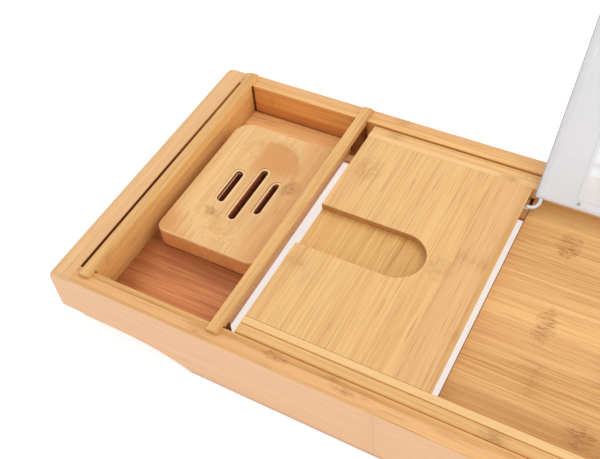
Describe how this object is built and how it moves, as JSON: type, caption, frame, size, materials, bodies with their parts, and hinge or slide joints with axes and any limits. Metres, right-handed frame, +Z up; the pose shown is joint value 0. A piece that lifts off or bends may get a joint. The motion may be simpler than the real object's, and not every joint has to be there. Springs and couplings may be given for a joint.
{
  "type": "bath caddy",
  "caption": "Extending bamboo bath caddy with hanging end trays, a scooped soap dish, recessed panels and a tilting cloth book rest.",
  "frame": {"origin": "middle of the underside of the box round the whole closed caddy with its book rest raised", "axes": "+X along the caddy from the soap dish end to the other end, +Y from the front board to the back board, where the book rest leans out, +Z up"},
  "size_m": [0.759, 0.313, 0.1529],
  "materials": {
    "bamboo_frame": "satin lacquered bamboo, long strips along each board",
    "bamboo_panel": "satin lacquered laminated bamboo with node marks",
    "bamboo_dish": "sanded bamboo, scooped, satin lacquer",
    "bamboo_tray_floor": "carbonised bamboo, satin",
    "bamboo_hidden": "planed bamboo, unlacquered",
    "wire": "bright plated steel wire",
    "screw": "plain steel",
    "rest_cloth": "thin pale grey translucent woven cloth with doubled hems",
    "pad": "matt non-slip pad"
  },
  "bodies": {
    "centre_unit": {"front_rail": "bamboo_frame", "back_rail": "bamboo_frame", "front_strip": "bamboo_frame", "back_strip": "bamboo_frame", "left_panel": "bamboo_panel", "right_panel": "bamboo_panel", "centre_floor": "bamboo_panel", "front_bearer": "bamboo_hidden", "back_bearer": "bamboo_hidden", "left_front_packer": "bamboo_hidden", "left_back_packer": "bamboo_hidden", "right_front_packer": "bamboo_hidden", "right_back_packer": "bamboo_hidden", "left_front_slide_block": "bamboo_hidden", "left_back_slide_block": "bamboo_hidden", "right_front_slide_block": "bamboo_hidden", "right_back_slide_block": "bamboo_hidden", "left_front_screw": "screw", "left_back_screw": "screw", "right_front_screw": "screw", "right_back_screw": "screw"},
    "left_end_frame": {"left_end_board": "bamboo_frame", "left_front_board": "bamboo_frame", "left_back_board": "bamboo_frame", "left_front_ledge": "bamboo_hidden", "left_back_ledge": "bamboo_hidden", "left_front_dowel": "bamboo_hidden", "left_back_dowel": "bamboo_hidden", "left_front_pad": "pad", "left_back_pad": "pad"},
    "right_end_frame": {"right_end_board": "bamboo_frame", "right_front_board": "bamboo_frame", "right_back_board": "bamboo_frame", "right_front_ledge": "bamboo_hidden", "right_back_ledge": "bamboo_hidden", "right_front_dowel": "bamboo_hidden", "right_back_dowel": "bamboo_hidden", "right_front_pad": "pad", "right_back_pad": "pad"},
    "left_tray": {"left_tray_outer_bar": "bamboo_frame", "left_tray_divider": "bamboo_frame", "left_tray_front_post": "bamboo_hidden", "left_tray_back_post": "bamboo_hidden", "left_tray_floor": "bamboo_tray_floor"},
    "right_tray": {"right_tray_outer_bar": "bamboo_frame", "right_tray_divider": "bamboo_frame", "right_tray_front_post": "bamboo_hidden", "right_tray_back_post": "bamboo_hidden", "right_tray_floor": "bamboo_tray_floor"},
    "dish": {"soap_dish": "bamboo_dish"},
    "book_rest": {"rest_frame_wire": "wire", "rest_hem_wire": "wire", "rest_prop_bar": "wire", "rest_cloth": "rest_cloth", "left_rest_rivet": "screw", "right_rest_rivet": "screw"},
    "prop": {"rest_prop": "wire"}
  },
  "joints": [
    {"name": "left_frame_slide", "type": "slide", "parent": "centre_unit", "child": "left_end_frame", "axis": [-1, 0, 0], "range_m": [0, 0.17]},
    {"name": "right_frame_slide", "type": "slide", "parent": "centre_unit", "child": "right_end_frame", "axis": [1, 0, 0], "range_m": [0, 0.17]},
    {"name": "left_tray_lift", "type": "slide", "parent": "left_end_frame", "child": "left_tray", "axis": [0, 0, 1], "range_m": [0, 0.06]},
    {"name": "right_tray_lift", "type": "slide", "parent": "right_end_frame", "child": "right_tray", "axis": [0, 0, 1], "range_m": [0, 0.06]},
    {"name": "soap_dish_lift", "type": "slide", "parent": "left_tray", "child": "dish", "axis": [0, 0, 1], "range_m": [0, 0.05]},
    {"name": "book_rest_tilt", "type": "hinge", "parent": "centre_unit", "child": "book_rest", "pos_m": [0, 0.03303, 0.047], "axis": [1, 0, 0], "range_deg": [0, 139.6]},
    {"name": "prop_fold", "type": "hinge", "parent": "book_rest", "child": "prop", "pos_m": [0, 0.06569, 0.07034], "axis": [1, 0, 0], "range_deg": [-24.3, 0]}
  ],
  "couplings": [
    {"joint": "prop_fold", "follows": "book_rest_tilt", "ratio": -0.17375}
  ]
}
